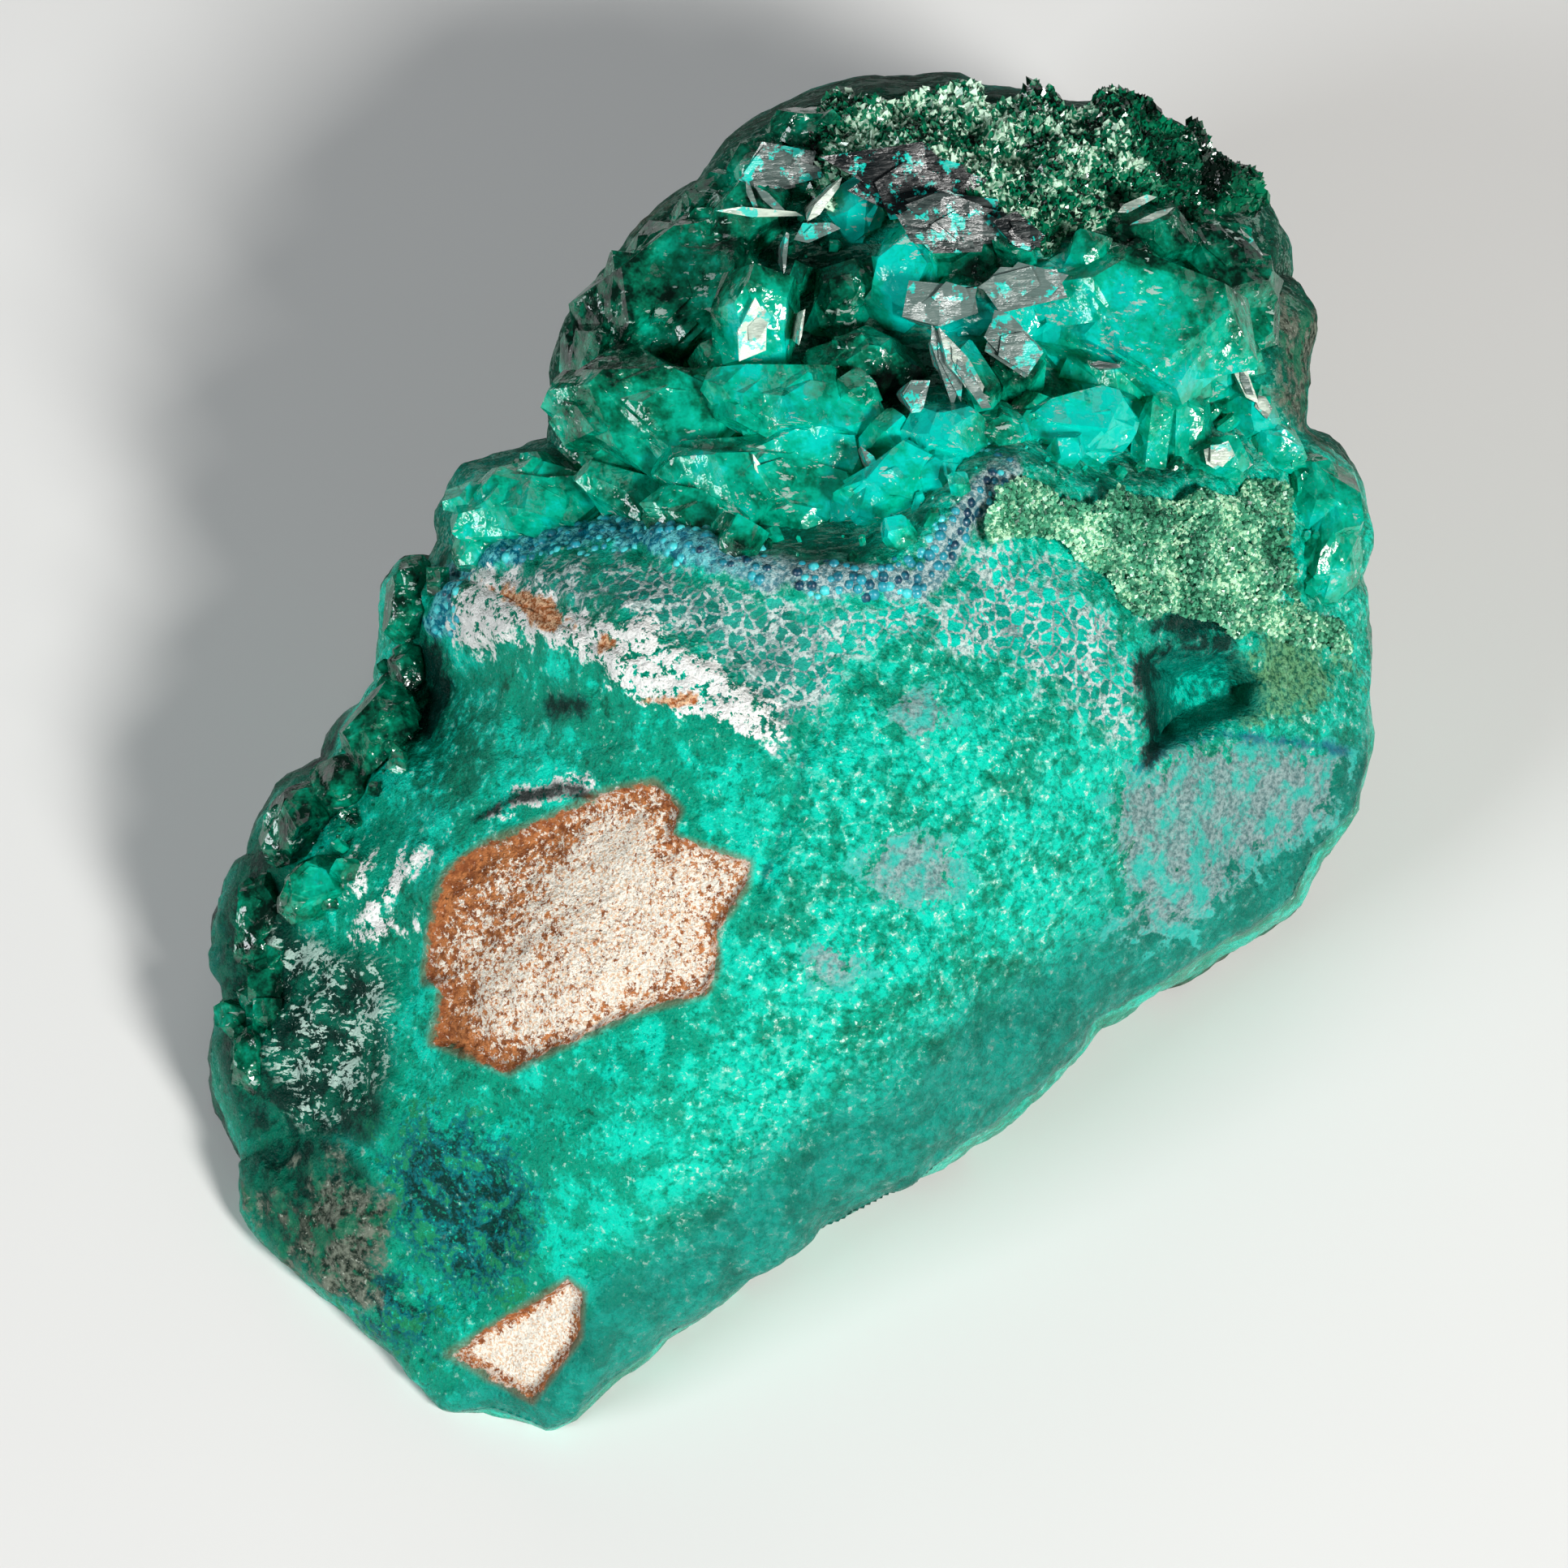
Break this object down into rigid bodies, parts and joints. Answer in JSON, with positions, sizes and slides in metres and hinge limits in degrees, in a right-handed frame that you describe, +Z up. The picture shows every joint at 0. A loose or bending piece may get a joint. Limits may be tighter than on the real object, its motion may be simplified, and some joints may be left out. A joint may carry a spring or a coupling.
{
  "type": "dioptase crystal specimen",
  "caption": "Emerald-green dioptase crystals and fine druse grown on a turquoise copper-stained matrix with brown patches and a white streak; rests on a flat base.",
  "frame": {"origin": "centre of the bounding box at its bottom, on the surface that the specimen rests on", "axes": "+Z up, +Y the longest way, from the foot of the display face to the crown, +X to the viewer's right"},
  "size_m": [0.0366, 0.0432, 0.0205],
  "materials": {
    "matrix": "mottled turquoise chrysocolla over brown host rock, satin to rough",
    "dioptase": "clear to translucent emerald crystal, bright flat faces",
    "fine_druse": "sparkling fine crystals",
    "pale_druse": "pale lime-green granular crust"
  },
  "bodies": {
    "root": {"matrix_rock": "matrix", "dioptase_cluster_terrace": "dioptase", "dioptase_cluster_left": "dioptase", "dioptase_cluster_right": "dioptase", "micro_druse_crown": "fine_druse", "pale_druse_crust": "pale_druse"}
  },
  "joints": []
}
